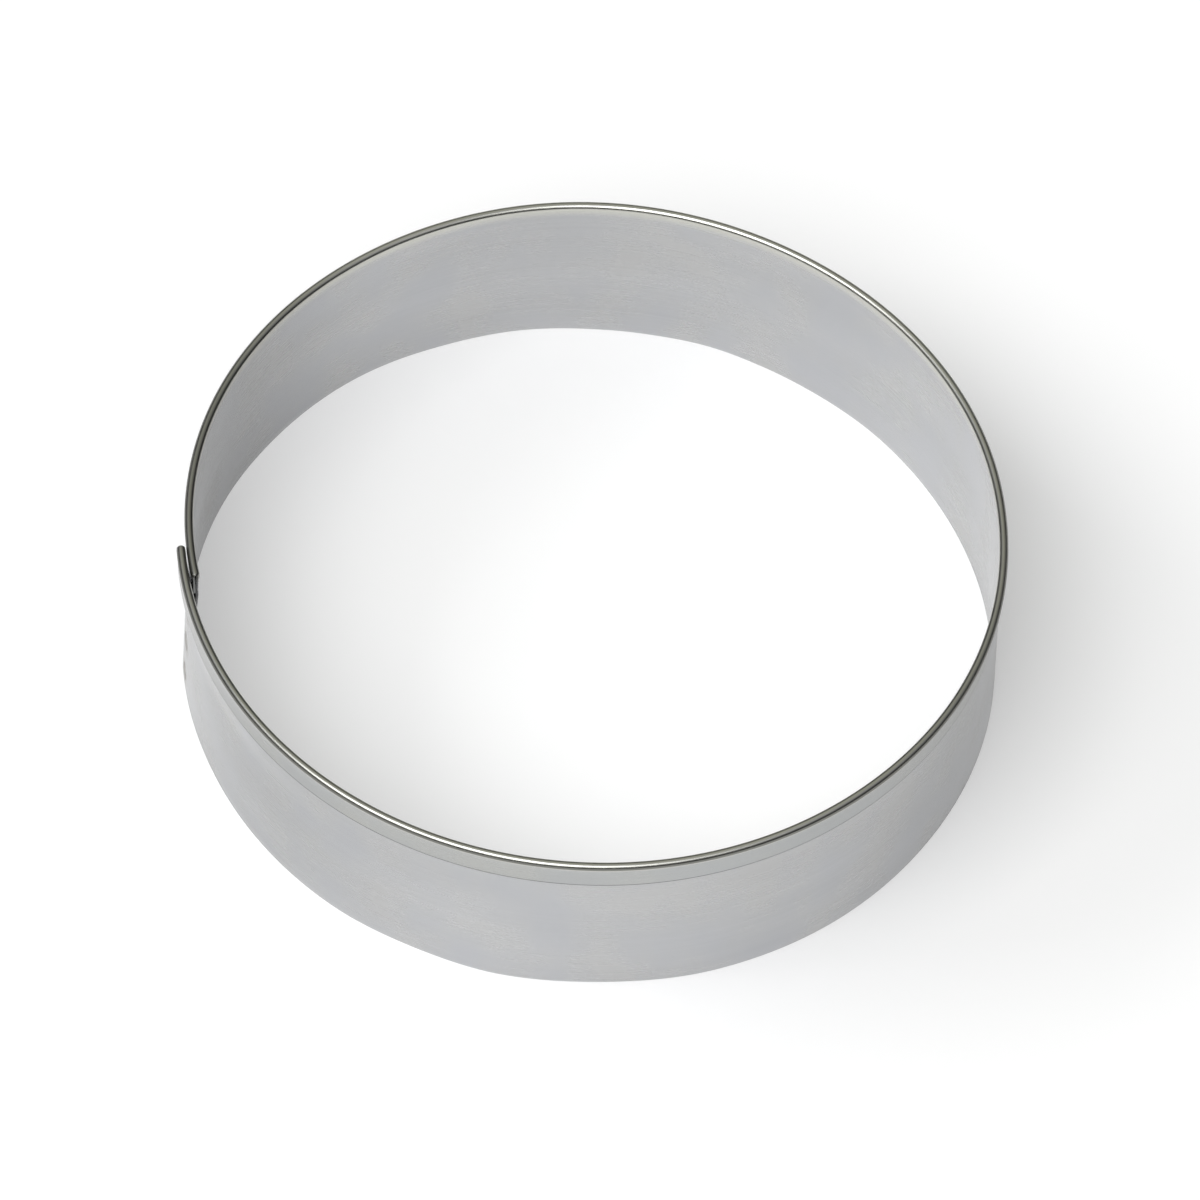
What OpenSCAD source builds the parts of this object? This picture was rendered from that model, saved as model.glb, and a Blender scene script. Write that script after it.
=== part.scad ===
// Round biscuit cutter: one strip of sheet steel, hemmed outward along its top edge, rolled into
// a ring, lapped at the seam and spot-welded. The origin is the centre of the ring on the plane
// of the cutting edge, and +Z points up to the rolled rim.

/* [Ring] */
// Diameter over the rolled rim, away from the seam
ring_d = 100; // [70:1:160]
// Height from the cutting edge to the top of the rim
ring_h = 25; // [21:0.5:60]

/* [Strip] */
// Thickness of the sheet
sheet_t = 0.35; // [0.25:0.05:0.6]
// Inside radius of the fold along the rim
fold_r = 0.1; // [0.05:0.01:0.3]
// Height of the hem, from the top of the rim to the strip's raw edge
hem_h = 4; // [3:0.1:6]
// Gap that is left between the hem's raw edge and the wall
hem_gap = 0.05; // [0.02:0.01:0.08]

/* [Seam] */
// Plan angle of the middle of the seam, counterclockwise from +X
seam_angle = 190.15; // [180:0.05:200]
// Overlap of the strip's two ends, measured round the rim
lap_l = 4.6; // [3:0.1:8]
// Gap between the two rims, where they lie side by side at the outer end
rim_gap = 0.1; // [0.05:0.01:0.3]
// Gap between the two sheets below the hem, where they are welded
sheet_gap = 0.05; // [0.04:0.01:0.1]
// How far the outer end's rim stands out from the round
outer_end_rise = 0.42; // [0.2:0.01:0.6]
// Angle over which the strip leaves the round towards its outer end
outer_end_turn = 102; // [60:1:120]
// Angle over which the strip leaves the round towards its inner end
inner_end_turn = 53; // [30:1:90]
// Angle over which the outer end's wall is pressed inward below the hem
press_turn = 58; // [20:1:100]

/* [Spot welds] */
// Diameter of a weld nugget
weld_d = 2.4; // [1.5:0.1:3]
// Depth of the dimple that each electrode leaves in the sheet
weld_dimple = 0.04; // [0.02:0.01:0.1]
// Height of the lowest weld's middle above the cutting edge
low_weld_rise = 2.2; // [1.7:0.1:3]
// Drop from the hem's raw edge to the highest weld's middle
high_weld_drop = 6.8; // [5:0.1:8]

/* [Hidden] */

// Plan radii of the strip where it is truly round
rim_r = ring_d / 2;
rim_w = 2 * (sheet_t + fold_r);
inner_r = rim_r - rim_w;
wall_r = inner_r + sheet_t;
fold_centre_r = wall_r + fold_r;

// Heights
fold_z = ring_h - sheet_t - fold_r;
hem_z = ring_h - hem_h;
low_weld_z = low_weld_rise;
high_weld_z = hem_z - high_weld_drop;
middle_weld_z = (low_weld_z + high_weld_z) / 2;
// The sheets touch up to here, a little above the highest weld
weld_land = 0.2;
press_z = high_weld_z + weld_d / 2 + weld_land;

// Plan angles: the strip runs counterclockwise, once round and a lap more, from its outer end
lap_angle = lap_l / rim_r * 180 / PI;
outer_end = seam_angle - lap_angle / 2;
inner_end = seam_angle + lap_angle / 2 + 360;
outer_turn_end = outer_end + outer_end_turn;
inner_turn_start = inner_end - inner_end_turn;

// Each end leaves the round along an arc of another radius; these are the differences in radius
outer_arc = outer_end_rise / (1 - cos(outer_end_turn));
rim_step = rim_w + rim_gap - outer_end_rise;
inner_arc = rim_step / (1 - cos(outer_end + 360 - inner_turn_start));
// Shift that brings the outer end's wall down onto the inner end's
press_depth = rim_step - sheet_t - sheet_gap;
// The nuggets' seats are cut this far past the sheets
cut_margin = 1;

// Fineness of the swept strip
station_angle = 3;
station_count = ceil((inner_end - outer_end) / station_angle);
fold_steps = 8;
press_steps = 4;
weld_facets = 48;

// Radial shift of the rim from the round at plan angle a
function rim_shift(a) =
    a < outer_turn_end ? outer_arc * (1 - cos(outer_turn_end - a)) :
    a > inner_turn_start ? -inner_arc * (1 - cos(a - inner_turn_start)) :
    0;

// Radial shift of the outer end's wall below the hem
function pressed_shift(a) =
    a < outer_end + press_turn ? -press_depth * (1 + cos(180 * (a - outer_end) / press_turn)) / 2 : 0;

// Radial shift of the wall below the hem: the inner end lies against the back of the outer end
function wall_shift(a) =
    a < outer_turn_end ? pressed_shift(a) :
    a < outer_end + 360 ? rim_shift(a) :
    max(rim_shift(a), pressed_shift(a - 360) - sheet_t - sheet_gap);

// Share of the rim's shift that the wall takes at height z, easing from the press to the hem
function rim_share(z) = let (s = min(1, max(0, (z - press_z) / (hem_z - press_z)))) s * s * (3 - 2 * s);

function shift_at(a, z) = wall_shift(a) + (rim_shift(a) - wall_shift(a)) * rim_share(z);

// Heights at which the wall has points: the cutting edge, and the stretch from press to hem
wall_levels = [0, for (i = [0:press_steps]) press_z + (hem_z - press_z) * i / press_steps];

// The strip's section at plan angle a as [radius, height]: up the inside of the wall, over the
// fold, down and back up the hem, round the inside of the fold and down the outside of the wall
function section(a) = let (rim = rim_shift(a), top = len(wall_levels) - 1) [
    for (z = wall_levels) [inner_r + shift_at(a, z), z],
    for (i = [0:fold_steps]) let (t = 180 - 180 * i / fold_steps)
        [fold_centre_r + rim + (fold_r + sheet_t) * cos(t), fold_z + (fold_r + sheet_t) * sin(t)],
    [wall_r + rim + hem_gap + sheet_t, hem_z],
    [wall_r + rim + hem_gap, hem_z],
    for (i = [0:2:fold_steps]) let (t = 180 * i / fold_steps)
        [fold_centre_r + rim + fold_r * cos(t), fold_z + fold_r * sin(t)],
    for (i = [top:-1:0]) [wall_r + shift_at(a, wall_levels[i]), wall_levels[i]]
];

// Cylinder across the seam at height z, from plan radius r_in to plan radius r_out
module across_seam(z, r_in, r_out)
    rotate([0, 0, seam_angle]) translate([r_in, 0, z]) rotate([0, 90, 0])
        cylinder(h = r_out - r_in, d = weld_d, $fn = weld_facets);

module swept_strip() {
    sections = [for (i = [0:station_count])
        let (a = outer_end + (inner_end - outer_end) * i / station_count)
        [for (p = section(a)) [p[0] * cos(a), p[0] * sin(a), p[1]]]];
    n = len(sections[0]);
    last = station_count * n;
    polyhedron(
        points = [for (s = sections) for (p = s) p],
        faces = [
            [for (j = [0:n - 1]) n - 1 - j],
            [for (j = [0:n - 1]) last + j],
            for (i = [0:station_count - 1]) for (j = [0:n - 1])
                let (k = (j + 1) % n, a = i * n, b = a + n)
                each [[a + j, a + k, b + k], [a + j, b + k, b + j]]
        ]
    );
}

module cutter_band() color("silver") difference() {
    swept_strip();
    for (z = [low_weld_z, middle_weld_z, high_weld_z])
        across_seam(z, inner_r - rim_step - cut_margin, rim_r + cut_margin);
}

module spot_weld(z) color("darkgray")
    across_seam(
        z,
        inner_r + wall_shift(seam_angle + 360) + weld_dimple,
        wall_r + wall_shift(seam_angle) - weld_dimple
    );

module upper_spot_weld() spot_weld(high_weld_z);

module middle_spot_weld() spot_weld(middle_weld_z);

module lower_spot_weld() spot_weld(low_weld_z);

cutter_band();
upper_spot_weld();
middle_spot_weld();
lower_spot_weld();
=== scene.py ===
import math
import bmesh
import bpy
from mathutils import Matrix, Vector


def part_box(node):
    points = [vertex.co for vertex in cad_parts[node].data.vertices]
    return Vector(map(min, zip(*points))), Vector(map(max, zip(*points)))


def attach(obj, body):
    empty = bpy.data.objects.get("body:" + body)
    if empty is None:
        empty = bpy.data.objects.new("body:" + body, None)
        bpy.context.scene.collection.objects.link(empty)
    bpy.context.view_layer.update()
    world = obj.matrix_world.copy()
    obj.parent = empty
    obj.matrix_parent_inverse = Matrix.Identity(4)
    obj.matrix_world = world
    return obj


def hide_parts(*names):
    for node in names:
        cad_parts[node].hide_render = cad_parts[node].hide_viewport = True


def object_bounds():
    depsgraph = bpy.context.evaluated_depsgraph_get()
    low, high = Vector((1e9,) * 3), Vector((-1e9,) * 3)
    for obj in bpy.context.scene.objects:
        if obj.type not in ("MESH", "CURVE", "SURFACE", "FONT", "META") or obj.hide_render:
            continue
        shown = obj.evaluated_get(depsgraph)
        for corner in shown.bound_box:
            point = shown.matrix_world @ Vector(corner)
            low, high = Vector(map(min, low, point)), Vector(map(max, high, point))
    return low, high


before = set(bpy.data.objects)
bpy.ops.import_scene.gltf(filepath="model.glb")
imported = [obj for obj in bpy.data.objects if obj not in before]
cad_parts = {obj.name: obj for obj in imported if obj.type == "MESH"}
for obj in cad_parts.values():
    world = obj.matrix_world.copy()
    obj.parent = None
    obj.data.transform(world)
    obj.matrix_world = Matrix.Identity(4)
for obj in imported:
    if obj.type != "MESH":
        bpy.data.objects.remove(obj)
cad_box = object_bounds()

# The strip, still flat
# One length of cold-rolled steel sheet, slit to width and sheared square at both ends. A press
# folds its upper edge outward and down into a hem with a full, round bead along the top. Only the
# middle of the sheet is drawn: x runs along it, y out from the wall, z up from the cutting edge.
ring_height = cad_box[1][2]
rim_radius = 0.050
sheet = 0.00035
hem_height = 0.004
hem_gap = 0.00005
wall_radius = rim_radius - 0.000725
bead_radius = 0.00055
fold_radius = bead_radius - sheet / 2
fold_height = ring_height - bead_radius
fold_out = 0.000275
hem_edge_height = ring_height - hem_height

weld_low, weld_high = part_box("middle_spot_weld")
weld_middle = (weld_low + weld_high) / 2
seam_angle = math.atan2(weld_middle.y, weld_middle.x) % (2 * math.pi)
lap_length = 0.0046
lap_angle = lap_length / rim_radius
outer_end = seam_angle - lap_angle / 2
strip_turn = 2 * math.pi + lap_angle
strip_length = strip_turn * wall_radius
station_count = 640
station_pitch = strip_length / station_count
fold_steps = 16

bpy.ops.object.select_all(action="DESELECT")
bpy.ops.mesh.primitive_circle_add(
    vertices=2 * fold_steps, radius=fold_radius, fill_type="NOTHING",
    location=(0, fold_out, fold_height), rotation=(0, math.pi / 2, 0),
)
band = bpy.context.object
band.name = band.data.name = "hemmed_band"
bpy.ops.object.transform_apply(location=True, rotation=True, scale=True)
bpy.ops.object.mode_set(mode="EDIT")
bpy.ops.mesh.select_mode(type="VERT")


def select_points(wanted):
    """Selects the points of the mesh in edit mode whose place passes the test, and no others."""
    shape = bmesh.from_edit_mesh(bpy.context.object.data)
    for point in shape.verts:
        point.select = wanted(point.co)
    shape.select_flush_mode()
    bmesh.update_edit_mesh(bpy.context.object.data)


hair = 1e-6
select_points(lambda place: place.z < fold_height - hair)
bpy.ops.mesh.delete(type="VERT")

# down the hem, leaning in to the wall most just under the bead
hem_lean = fold_out + fold_radius - sheet - hem_gap
hem_drop = fold_height - hem_edge_height
select_points(lambda place: place.y > fold_out + fold_radius - hair)
for lean, drop in ((0.20, 0.10), (0.25, 0.15), (0.20, 0.20), (0.20, 0.25), (0.15, 0.30)):
    bpy.ops.mesh.extrude_vertices_move(TRANSFORM_OT_translate={
        "value": (0, -hem_lean * lean, -hem_drop * drop)})

# down the wall: out from under the bead in four steps, then straight, and divided afterwards
under_bead = fold_radius - fold_out
under_drop = 0.0016
select_points(lambda place: place.y < fold_out - fold_radius + hair)
for lean, drop in ((0.30, 0.18), (0.40, 0.27), (0.22, 0.27), (0.08, 0.28)):
    bpy.ops.mesh.extrude_vertices_move(TRANSFORM_OT_translate={
        "value": (0, under_bead * lean, -under_drop * drop)})
bpy.ops.mesh.extrude_vertices_move(TRANSFORM_OT_translate={
    "value": (0, 0, under_drop - fold_height)})
wall_steps = 22
wall_top = fold_height - under_drop
select_points(lambda place: place.z < wall_top + hair)
bpy.ops.mesh.subdivide(number_cuts=wall_steps - 1)

# the section is drawn out into the first pitch of the strip, and repeated to its full length
bpy.ops.mesh.select_all(action="SELECT")
bpy.ops.mesh.extrude_edges_move(TRANSFORM_OT_translate={"value": (station_pitch, 0, 0)})
bpy.ops.object.mode_set(mode="OBJECT")
repeat = band.modifiers.new("full length", "ARRAY")
repeat.count = station_count
repeat.use_relative_offset = False
repeat.use_constant_offset = True
repeat.constant_offset_displace = (station_pitch, 0, 0)
repeat.use_merge_vertices = True
repeat.merge_threshold = station_pitch / 100
bpy.ops.object.modifier_apply(modifier=repeat.name)

# both ends are divided finely, for the rounded corners that the shears and the press leave
corner = 0.00042
bpy.ops.object.mode_set(mode="EDIT")
for share in (0.06, 0.2, 0.45):
    for along in (corner * share, strip_length - corner * share):
        bpy.ops.mesh.select_all(action="SELECT")
        bpy.ops.mesh.bisect(plane_co=(along, 0, 0), plane_no=(1, 0, 0))
bpy.ops.object.mode_set(mode="OBJECT")

# a flat pattern for the surface: along the strip and across it, one unit being 100 mm
pattern_unit = 0.1


def across_strip(place):
    """How far a point of the flat strip's section lies from the cutting edge, along the sheet."""
    if place.z > fold_height:
        turned = math.atan2(place.z - fold_height, fold_out - place.y)
        return fold_height + fold_radius * turned
    if place.y > fold_out:
        return fold_height + math.pi * fold_radius + fold_height - place.z
    return place.z


pattern = band.data.uv_layers.new(name="strip")
for loop in band.data.loops:
    place = band.data.vertices[loop.vertex_index].co
    pattern.data[loop.index].uv = (place.x / pattern_unit, across_strip(place) / pattern_unit)

# The strip, rolled
# Three rolls bend the strip into a ring, hem outward. Its two ends leave the round a little so
# that their beads lie side by side, and below the hem the electrodes press the walls together.
# Thin sheet never rolls quite true: the rim and the cutting edge each wander by some tenths.
rim_gap = 0.00008
sheet_gap = 0.00005
outer_end_rise = 0.00042
outer_end_turn = math.radians(102)
inner_end_turn = math.radians(53)
press_turn = math.radians(58)
inner_end = outer_end + strip_turn
rim_step = 2 * bead_radius + rim_gap - outer_end_rise
outer_arc = outer_end_rise / (1 - math.cos(outer_end_turn))
inner_arc = rim_step / (1 - math.cos(inner_end_turn - lap_angle))
press_depth = rim_step - sheet - sheet_gap
press_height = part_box("upper_spot_weld")[1].z + 0.0002

# each wave: its plan angle, how far it reaches to either side, and how far out it goes
rim_waves = ((62, 45, -0.00027), (134, 50, -0.00016), (222, 52, 0.00022), (340, 30, 0.00013))
edge_waves = (
    (59, 14, -0.00014), (76, 9, 0.00014), (104, 14, 0.00022), (128, 22, 0.00038),
    (155, 25, 0.00014), (192, 16, 0.0001), (248, 13, -0.0002), (275, 17, -0.00029),
    (314, 22, 0.0001), (358, 45, 0.00042),
)


def wander(waves, angle):
    """How far the waves push the strip out at a plan angle."""
    out = 0
    for middle, reach, height in waves:
        away = abs((math.degrees(angle) - middle + 180) % 360 - 180) / reach
        out += height * (1 + math.cos(math.pi * away)) / 2 if away < 1 else 0
    return out


def eased(share):
    """Goes smoothly from 0 to 1 as share does."""
    share = min(1, max(0, share))
    return share * share * (3 - 2 * share)


def rim_shift(angle):
    """How far the rim stands out from the round at a plan angle."""
    if angle < outer_end + outer_end_turn:
        return outer_arc * (1 - math.cos(outer_end + outer_end_turn - angle))
    if angle > inner_end - inner_end_turn:
        return -inner_arc * (1 - math.cos(angle - inner_end + inner_end_turn))
    return 0


def pressed_shift(angle):
    """The same for the outer end's wall, below the hem."""
    turned = (angle - outer_end) / press_turn
    return -press_depth * (1 + math.cos(math.pi * turned)) / 2 if turned < 1 else 0


def wall_shift(angle):
    """The same for the whole wall, the inner end's wall lying against the outer end's."""
    if angle < outer_end + outer_end_turn:
        return pressed_shift(angle)
    if angle < outer_end + 2 * math.pi:
        return rim_shift(angle)
    return max(rim_shift(angle), pressed_shift(angle - 2 * math.pi) - sheet - sheet_gap)


def rolled_radius(angle, up):
    """Plan radius of the middle of the wall at a plan angle and a height."""
    at_rim = eased((up - press_height) / (hem_edge_height - press_height))
    shift = wall_shift(angle) + (rim_shift(angle) - wall_shift(angle)) * at_rim
    risen = min(1, up / hem_edge_height)
    wave = wander(edge_waves, angle) * (1 - risen) + wander(rim_waves, angle) * risen
    return wall_radius + shift + wave


for point in band.data.vertices:
    along, out, up = point.co
    to_end = max(0, min(along, strip_length - along))
    if to_end < corner and up > hem_edge_height - hair:
        kept = 0.45 + 0.55 * math.sqrt(1 - (1 - to_end / corner) ** 2)
        out = fold_out + (out - fold_out) * kept
        up = min(up, fold_height + (up - fold_height) * kept)
    angle = outer_end + along / wall_radius
    radius = rolled_radius(angle, up) + out
    point.co = (radius * math.cos(angle), radius * math.sin(angle), up)

# The sheet gets its thickness, and its sheared edges lose their sharpness
bpy.ops.object.mode_set(mode="EDIT")
bpy.ops.mesh.select_all(action="SELECT")
bpy.ops.mesh.normals_make_consistent(inside=False)
bpy.ops.object.mode_set(mode="OBJECT")
thickness = band.modifiers.new("sheet", "SOLIDIFY")
thickness.thickness = sheet
thickness.offset = 0
thickness.use_even_offset = True
bpy.ops.object.modifier_apply(modifier=thickness.name)
edges = band.modifiers.new("sheared edges", "BEVEL")
edges.width = 0.00009
edges.segments = 2
edges.limit_method = "ANGLE"
edges.angle_limit = math.radians(60)
bpy.ops.object.modifier_apply(modifier=edges.name)

# Satin steel: drawn lines along the strip, cloudy patches left by the rolls, and a few specks
steel = bpy.data.materials.new("satin steel")
steel.use_nodes = True
steel_nodes = steel.node_tree.nodes
steel_links = steel.node_tree.links
shader = steel_nodes["Principled BSDF"]
shader.inputs["Metallic"].default_value = 1
shader.inputs["Anisotropic"].default_value = 0.45
around = steel_nodes.new("ShaderNodeTangent")
around.direction_type = "RADIAL"
around.axis = "Z"
steel_links.new(around.outputs["Tangent"], shader.inputs["Tangent"])
on_strip = steel_nodes.new("ShaderNodeUVMap")
on_strip.uv_map = "strip"


def noise(nodes, links, place, stretch, detail, roughness=0.5):
    """Noise at so many spots to the pattern's unit, along and across."""
    spread = nodes.new("ShaderNodeMapping")
    spread.inputs["Scale"].default_value = (stretch[0], stretch[1], stretch[-1])
    links.new(place, spread.inputs["Vector"])
    spots = nodes.new("ShaderNodeTexNoise")
    spots.inputs["Scale"].default_value = 1
    spots.inputs["Detail"].default_value = detail
    spots.inputs["Roughness"].default_value = roughness
    links.new(spread.outputs["Vector"], spots.inputs["Vector"])
    return spots.outputs["Fac"]


def ranged(nodes, links, value, low, high, to_low, to_high, smooth=False):
    """Maps a value from one range to another, and stops it at the ends."""
    scale = nodes.new("ShaderNodeMapRange")
    scale.interpolation_type = "SMOOTHSTEP" if smooth else "LINEAR"
    scale.inputs["From Min"].default_value = low
    scale.inputs["From Max"].default_value = high
    scale.inputs["To Min"].default_value = to_low
    scale.inputs["To Max"].default_value = to_high
    links.new(value, scale.inputs["Value"])
    return scale.outputs["Result"]


def worked(nodes, links, operation, *values):
    """One step of arithmetic on sockets and numbers."""
    step = nodes.new("ShaderNodeMath")
    step.operation = operation
    for number, value in enumerate(values):
        if isinstance(value, (int, float)):
            step.inputs[number].default_value = value
        else:
            links.new(value, step.inputs[number])
    return step.outputs[0]


def blended(nodes, links, kind, share, first, second):
    """Mixes two colours, each of them a socket or a written colour."""
    mix = nodes.new("ShaderNodeMix")
    mix.data_type = "RGBA"
    mix.blend_type = kind
    if isinstance(share, (int, float)):
        mix.inputs["Factor"].default_value = share
    else:
        links.new(share, mix.inputs["Factor"])
    for name, value in (("A", first), ("B", second)):
        socket = [each for each in mix.inputs if each.name == name and each.type == "RGBA"][0]
        if isinstance(value, tuple):
            socket.default_value = (*value, 1)
        else:
            links.new(value, socket)
    return [each for each in mix.outputs if each.type == "RGBA"][0]


here = (steel_nodes, steel_links)
place = on_strip.outputs["UV"]
parts = steel_nodes.new("ShaderNodeSeparateXYZ")
steel_links.new(place, parts.inputs[0])
along_strip, up_strip = parts.outputs["X"], parts.outputs["Y"]

clouds = noise(*here, place, (11, 9), 2)
patches = noise(*here, place, (4, 14), 1)
drawn = noise(*here, place, (1.5, 330), 3, 0.6)
grain = noise(*here, place, (90, 900), 2)
dust = noise(*here, place, (260, 260), 1)

colour = blended(
    *here, "MIX", ranged(*here, clouds, 0.35, 0.65, 0, 1),
    (0.474, 0.480, 0.495), (0.499, 0.499, 0.498),
)
tone = worked(*here, "MULTIPLY",
              ranged(*here, drawn, 0.3, 0.7, 0.965, 1.025),
              ranged(*here, patches, 0.3, 0.7, 0.97, 1.02))
tone = worked(*here, "MULTIPLY", tone, ranged(*here, grain, 0.3, 0.7, 0.985, 1.015))
tone = worked(*here, "MULTIPLY", tone, ranged(*here, dust, 0.74, 0.80, 1, 0.82))

# the hem's face is duller and greener than the wall, and the bead is painted lighter and warmer, a
# painted sheen for the brighter light it reflects
hem_start = (fold_height + math.pi * fold_radius) / pattern_unit
on_hem = ranged(*here, up_strip, hem_start, hem_start + 0.004, 0, 1, True)
colour = blended(*here, "MULTIPLY", on_hem, colour, (0.905, 0.912, 0.885))
past_wall = ranged(*here, up_strip, wall_top / pattern_unit, fold_height / pattern_unit, 0, 1, True)
on_bead = worked(*here, "SUBTRACT", past_wall, on_hem)
colour = blended(*here, "MIX", on_bead, colour, (0.60, 0.598, 0.55))

# painted shade: a dark line in the crease under the bead, and another on the hem's face along its
# raw edge
crease = hem_start - 0.0012
from_crease = worked(*here, "ABSOLUTE", worked(*here, "SUBTRACT", up_strip, crease))
painted_crease_shade = ranged(*here, from_crease, 0.001, 0.0029, 0.36, 1, True)
# painted shade along the hem's raw edge, where the hem meets the wall
raw_edge = hem_start + hem_drop / pattern_unit
painted_edge_shade = ranged(*here, up_strip, raw_edge - 0.0024, raw_edge - 0.0010, 1, 0.42)

# painted shade: the steel is darker towards both ends of the strip, and on the side across from the
# seam, where its reflections are darker
inner_reach, inner_full = 0.062, 0.024
inner_end_painted_shade = ranged(
    *here, along_strip, (strip_length - inner_reach) / pattern_unit,
    (strip_length - inner_full) / pattern_unit, 1, 0.60, True,
)
outer_end_painted_shade = ranged(
    *here, along_strip, 0.015 / pattern_unit, 0.065 / pattern_unit, 0.78, 1, True,
)
side_angle = math.radians(355)
side_place = (side_angle - outer_end) * wall_radius / pattern_unit
from_side = worked(*here, "ABSOLUTE", worked(*here, "SUBTRACT", along_strip, side_place))
side_painted_shade = ranged(*here, from_side, 0.008 / pattern_unit, 0.045 / pattern_unit, 0.78, 1, True)
ends_painted_shade = worked(*here, "MULTIPLY", inner_end_painted_shade, outer_end_painted_shade)
strip_painted_shade = worked(*here, "MULTIPLY", ends_painted_shade, side_painted_shade)
tone = worked(*here, "MULTIPLY", tone, worked(*here, "MULTIPLY", painted_edge_shade, strip_painted_shade))
tone = worked(*here, "MULTIPLY", tone, painted_crease_shade)

# heat has tinted the sheet round each spot weld
weld_rise = 0.0022 / pattern_unit
weld_pitch = 0.006 / pattern_unit
half_strip = strip_length / 2 / pattern_unit
half_lap = lap_length / 2 / pattern_unit
from_middle = worked(*here, "ABSOLUTE", worked(*here, "SUBTRACT", along_strip, half_strip))
beside = worked(*here, "SUBTRACT", worked(*here, "SUBTRACT", half_strip, from_middle), half_lap)
over = worked(*here, "WRAP", worked(*here, "SUBTRACT", up_strip, weld_rise),
              weld_pitch / 2, -weld_pitch / 2)
from_weld = worked(*here, "SQRT", worked(*here, "ADD", worked(*here, "MULTIPLY", beside, beside),
                                         worked(*here, "MULTIPLY", over, over)))
below_hem = ranged(*here, up_strip, 0.169, 0.172, 1, 0)
tinted = worked(*here, "MULTIPLY", ranged(*here, from_weld, 0.012, 0.024, 0.8, 0, True), below_hem)
colour = blended(*here, "MULTIPLY", tinted, colour, (0.66, 0.62, 0.56))

# the colour, dulled or lightened by the tone, and the gloss and the faint relief of the drawn lines
toned = steel_nodes.new("ShaderNodeVectorMath")
toned.operation = "SCALE"
steel_links.new(colour, toned.inputs[0])
steel_links.new(tone, toned.inputs["Scale"])
steel_links.new(toned.outputs["Vector"], shader.inputs["Base Color"])

dull = worked(*here, "ADD", ranged(*here, clouds, 0.35, 0.65, 0.23, 0.28),
              ranged(*here, drawn, 0.3, 0.7, -0.02, 0.03))
dull = worked(*here, "ADD", dull, worked(*here, "MULTIPLY", on_bead, 0.06))
steel_links.new(dull, shader.inputs["Roughness"])
relief = steel_nodes.new("ShaderNodeBump")
relief.inputs["Strength"].default_value = 0.2
relief.inputs["Distance"].default_value = 0.000004
steel_links.new(worked(*here, "ADD", drawn, worked(*here, "MULTIPLY", grain, 0.5)),
                relief.inputs["Height"])
steel_links.new(relief.outputs["Normal"], shader.inputs["Normal"])
band.data.materials.append(steel)
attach(band, "root")
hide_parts("cutter_band")

# The spot welds
# Three nuggets of melted sheet, one above the other, join the laps. Each electrode tip leaves a
# shallow round dish with a soft lip on its side of the sheet, dull and a little scorched.
weld_radius = (weld_high.z - weld_low.z) / 2
weld_lip = 0.00002
weld_steel = bpy.data.materials.new("scorched weld steel")
weld_steel.use_nodes = True
scorch = (weld_steel.node_tree.nodes, weld_steel.node_tree.links)
weld_shader = scorch[0]["Principled BSDF"]
weld_shader.inputs["Metallic"].default_value = 1
weld_place = scorch[0].new("ShaderNodeTexCoord").outputs["Object"]
mottle = noise(*scorch, weld_place, (2500, 2500, 2500), 3)
scorch[1].new(blended(*scorch, "MIX", ranged(*scorch, mottle, 0.35, 0.65, 0, 1),
                      (0.33, 0.32, 0.31), (0.43, 0.42, 0.40)), weld_shader.inputs["Base Color"])
scorch[1].new(ranged(*scorch, mottle, 0.3, 0.7, 0.36, 0.52), weld_shader.inputs["Roughness"])
pitted = scorch[0].new("ShaderNodeBump")
pitted.inputs["Strength"].default_value = 0.3
pitted.inputs["Distance"].default_value = 0.00001
scorch[1].new(mottle, pitted.inputs["Height"])
scorch[1].new(pitted.outputs["Normal"], weld_shader.inputs["Normal"])

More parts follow.
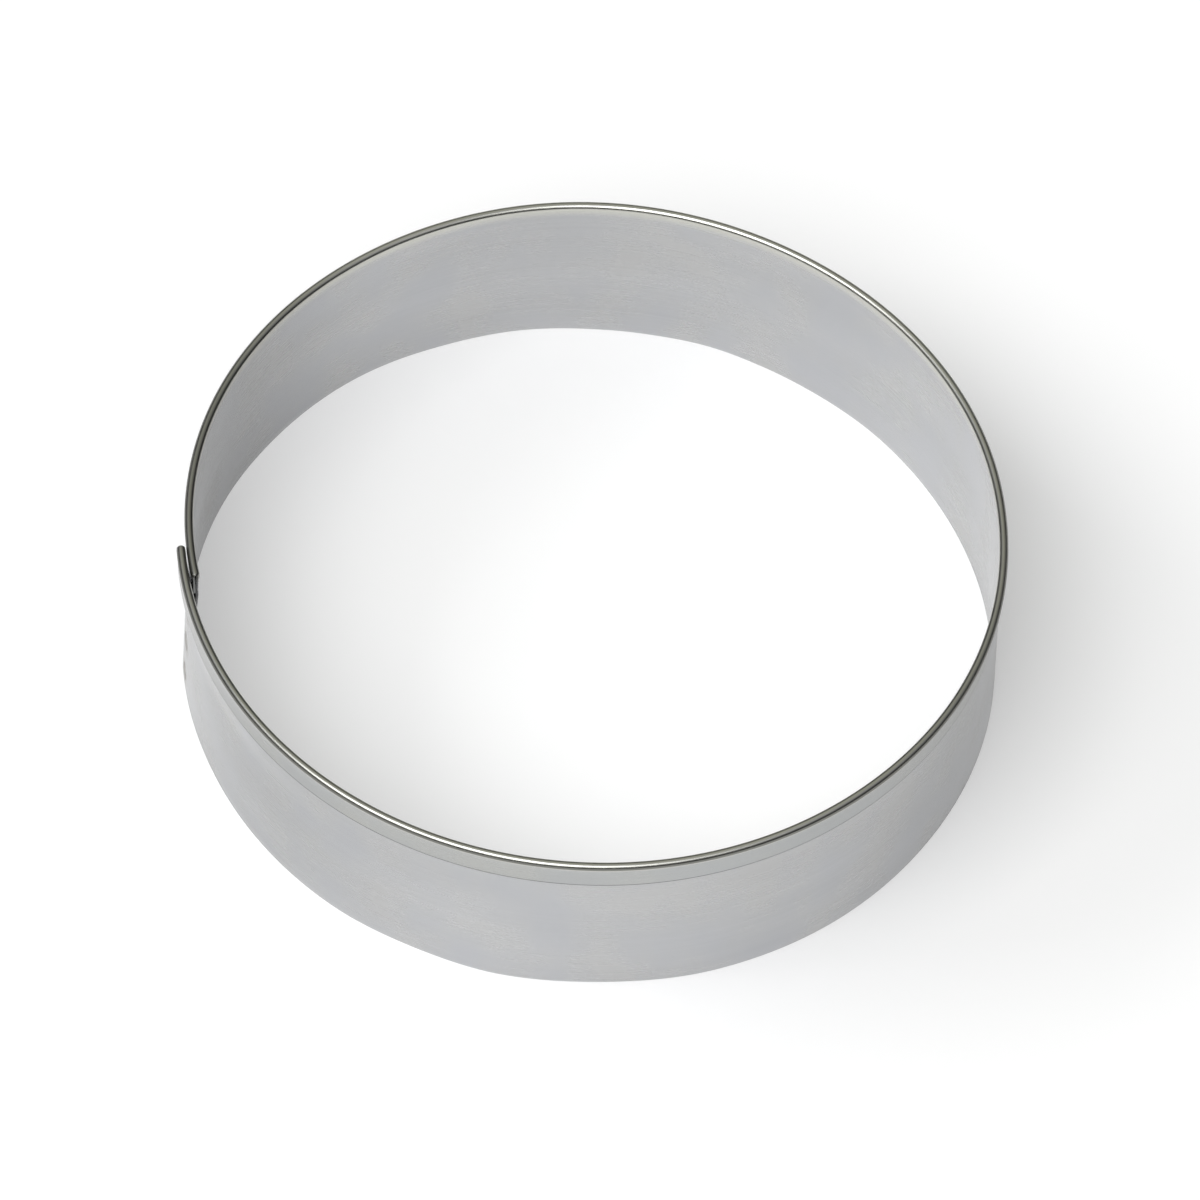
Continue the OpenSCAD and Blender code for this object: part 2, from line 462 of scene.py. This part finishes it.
outward = Vector((math.cos(seam_angle), math.sin(seam_angle), 0))
through = outward.to_track_quat("Z", "Y").to_euler()
for name in ("upper_spot_weld", "middle_spot_weld", "lower_spot_weld"):
    low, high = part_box(name)
    up = (low.z + high.z) / 2
    back_face = rolled_radius(seam_angle + 2 * math.pi, up) - sheet / 2
    front_face = rolled_radius(seam_angle, up) + sheet / 2
    middle = outward * (back_face + front_face) / 2 + Vector((0, 0, up))
    depth = front_face - back_face

    # a punch as wide as the nugget opens both laps for it
    bpy.ops.object.select_all(action="DESELECT")
    bpy.ops.mesh.primitive_cylinder_add(
        vertices=48, radius=weld_radius, depth=depth + 0.001, location=middle, rotation=through,
    )
    punch = bpy.context.object
    bpy.context.view_layer.objects.active = band
    opening = band.modifiers.new("opening", "BOOLEAN")
    opening.operation = "DIFFERENCE"
    opening.solver = "EXACT"
    opening.object = punch
    bpy.ops.object.modifier_apply(modifier=opening.name)
    bpy.data.objects.remove(punch)

    # the nugget, dished from both sides
    bpy.ops.mesh.primitive_cylinder_add(
        vertices=48, radius=weld_radius - 0.000008, depth=depth + 2 * weld_lip,
        location=middle, rotation=through,
    )
    nugget = bpy.context.object
    nugget.name = nugget.data.name = name.replace("spot_weld", "weld")
    bpy.ops.object.transform_apply(location=True, rotation=True, scale=True)
    bpy.ops.object.mode_set(mode="EDIT")
    bpy.ops.mesh.select_mode(type="FACE")
    for side in (1, -1):
        for inset, sink in ((0.00012, 0), (0.00022, 0.00005), (0.0003, 0.00002)):
            shape = bmesh.from_edit_mesh(nugget.data)
            shape.faces.ensure_lookup_table()
            ends = [face for face in shape.faces if face.normal.dot(outward) * side > 0.99]
            for face in shape.faces:
                face.select = False
            dish = max(ends, key=lambda face: len(face.verts))
            dish.select = True
            bmesh.update_edit_mesh(nugget.data)
            bpy.ops.mesh.inset(thickness=inset, depth=0)
            if sink:
                bpy.ops.transform.translate(value=-outward * side * sink)
    bpy.ops.object.mode_set(mode="OBJECT")
    lip = nugget.modifiers.new("lip", "BEVEL")
    lip.width = 0.00004
    lip.segments = 2
    lip.limit_method = "ANGLE"
    lip.angle_limit = math.radians(50)
    bpy.ops.object.modifier_apply(modifier=lip.name)
    bpy.ops.object.shade_smooth_by_angle(angle=math.radians(35))
    nugget.data.materials.append(weld_steel)
    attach(nugget, "root")
    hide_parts(name)

bpy.ops.object.select_all(action="DESELECT")
band.select_set(True)
bpy.context.view_layer.objects.active = band
bpy.ops.object.shade_smooth_by_angle(angle=math.radians(35))

# The floor
# White paper, wider than any view, with the ring's soft shadow on it. A little light of its own
# lifts it to white for the eye, and for the steel that mirrors it.
bpy.ops.object.select_all(action="DESELECT")
bpy.ops.mesh.primitive_plane_add(size=20, location=(0, 0, 0))
floor = bpy.context.object
floor.name = "floor"
paper = bpy.data.materials.new("white paper")
paper.use_nodes = True
sheet_of = (paper.node_tree.nodes, paper.node_tree.links)
matt = sheet_of[0]["Principled BSDF"]
matt.inputs["Base Color"].default_value = (0.64, 0.64, 0.64, 1)
matt.inputs["Roughness"].default_value = 1
matt.inputs["Specular IOR Level"].default_value = 0
rays = sheet_of[0].new("ShaderNodeLightPath")
seen = worked(*sheet_of, "MAXIMUM", rays.outputs["Is Camera Ray"],
              worked(*sheet_of, "MAXIMUM", rays.outputs["Is Glossy Ray"],
                     rays.outputs["Is Transmission Ray"]))
glow = sheet_of[0].new("ShaderNodeEmission")
sheet_of[1].new(worked(*sheet_of, "MULTIPLY", seen, 0.36), glow.inputs["Strength"])
both = sheet_of[0].new("ShaderNodeAddShader")
sheet_of[1].new(matt.outputs[0], both.inputs[0])
sheet_of[1].new(glow.outputs[0], both.inputs[1])
sheet_of[1].new(both.outputs[0], sheet_of[0]["Material Output"].inputs["Surface"])
floor.data.materials.append(paper)

# The studio's light
# A room dark along its walls, brighter overhead and to the left, and warm where the ceiling meets
# the back wall. A large softbox hangs at the front left, and a lower one lights only the floor.
world = bpy.data.worlds.new("studio")
bpy.context.scene.world = world
world.use_nodes = True
sky = (world.node_tree.nodes, world.node_tree.links)
background = sky[0]["Background"]
towards = sky[0].new("ShaderNodeTexCoord").outputs["Generated"]
axes = sky[0].new("ShaderNodeSeparateXYZ")
sky[1].new(towards, axes.inputs[0])
room = sky[0].new("ShaderNodeValToRGB")
sky[1].new(axes.outputs["Z"], room.inputs["Fac"])
room.color_ramp.elements[0].position = 0.0
room.color_ramp.elements[0].color = (0.03, 0.03, 0.03, 1)
room.color_ramp.elements[1].position = 0.78
room.color_ramp.elements[1].color = (0.46, 0.47, 0.49, 1)
dark_wall = room.color_ramp.elements.new(0.42)
dark_wall.color = (0.04, 0.04, 0.04, 1)
facing = sky[0].new("ShaderNodeVectorMath")
facing.operation = "DOT_PRODUCT"
facing.inputs[1].default_value = (0, 0.595, 0.804)
sky[1].new(towards, facing.inputs[0])
warm = blended(*sky, "MULTIPLY", ranged(*sky, facing.outputs["Value"], 0.72, 0.95, 0, 1, True),
               room.outputs["Color"], (1.0, 0.985, 0.82))
sided = sky[0].new("ShaderNodeVectorMath")
sided.operation = "SCALE"
sky[1].new(warm, sided.inputs[0])
sky[1].new(ranged(*sky, axes.outputs["X"], -1, 1, 1.65, 0.35), sided.inputs["Scale"])
sky[1].new(sided.outputs["Vector"], background.inputs["Color"])
background.inputs["Strength"].default_value = 1


def softbox(name, place, width, height, power):
    """Hangs a rectangular lamp at a place, and turns it to the ring."""
    lamp = bpy.data.lights.new(name, "AREA")
    lamp.shape = "RECTANGLE"
    lamp.size = width
    lamp.size_y = height
    lamp.energy = power
    hung = bpy.data.objects.new(name, lamp)
    bpy.context.scene.collection.objects.link(hung)
    hung.location = place
    hung.rotation_euler = (-place).to_track_quat("-Z", "Y").to_euler()
    return hung


softbox("key softbox", Vector((-0.294, -0.509, 0.809)) * 2, 2.0, 1.5, 34)
window = softbox("window softbox", Vector((-0.86, 0.1, 0.5)) * 2, 1.4, 0.8, 20)
window.visible_glossy = False

# The camera
# It looks down on the ring from the front at 54 degrees, through a long lens, rolled a little.
camera_distance = 2.5
camera_rise = math.radians(53.766)
camera_roll = math.radians(4.016)
camera_data = bpy.data.cameras.new("camera")
camera_data.sensor_width = 36
camera_data.lens = 618.48
camera = bpy.data.objects.new("camera", camera_data)
bpy.context.scene.collection.objects.link(camera)
back = Vector((0, -math.cos(camera_rise), math.sin(camera_rise)))
right = Vector((1, 0, 0))
above = back.cross(right)
roll_right = math.cos(camera_roll) * right + math.sin(camera_roll) * above
roll_above = -math.sin(camera_roll) * right + math.cos(camera_roll) * above
target = Vector((0, 0, ring_height / 2)) + roll_right * 0.0012105 - roll_above * 0.0010971
turned = Matrix((roll_right, roll_above, back)).transposed().to_4x4()
camera.matrix_world = Matrix.Translation(target + back * camera_distance) @ turned
bpy.context.scene.camera = camera
bpy.context.scene.view_settings.view_transform = "Standard"
